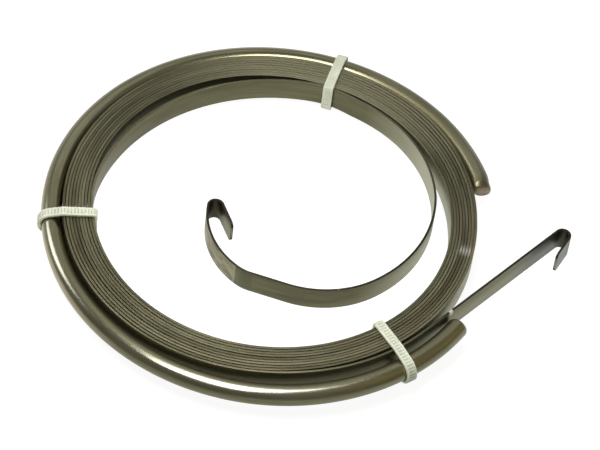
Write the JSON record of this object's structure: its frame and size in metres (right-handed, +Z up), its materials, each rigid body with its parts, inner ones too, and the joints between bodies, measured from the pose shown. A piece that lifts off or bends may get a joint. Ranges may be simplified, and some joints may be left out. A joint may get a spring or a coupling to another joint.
{
  "type": "recoil starter spring",
  "caption": "Flat spiral starter spring of steel strip with a hook at each end, wound inside a split rod ring and bound with white ladder ties.",
  "frame": {"origin": "on the coil's axis, in the plane of the tie heads' undersides that the part rests on", "axes": "+Z up along the coil's axis; +X from the coil's axis towards the side the outer hook sticks out; +Y away from the viewer towards the rear tie"},
  "size_m": [0.1273, 0.1112, 0.0108],
  "materials": {
    "spring_steel": "rolled, blue-tempered and oiled, olive grey",
    "rod_steel": "drawn, smooth and oiled, bronze grey",
    "tie_nylon": "moulded, natural white, slightly see-through"
  },
  "bodies": {
    "root": {"spring_strip": "spring_steel", "retaining_ring": "rod_steel", "tie_left": "tie_nylon", "tie_rear": "tie_nylon", "tie_front": "tie_nylon"}
  },
  "joints": []
}
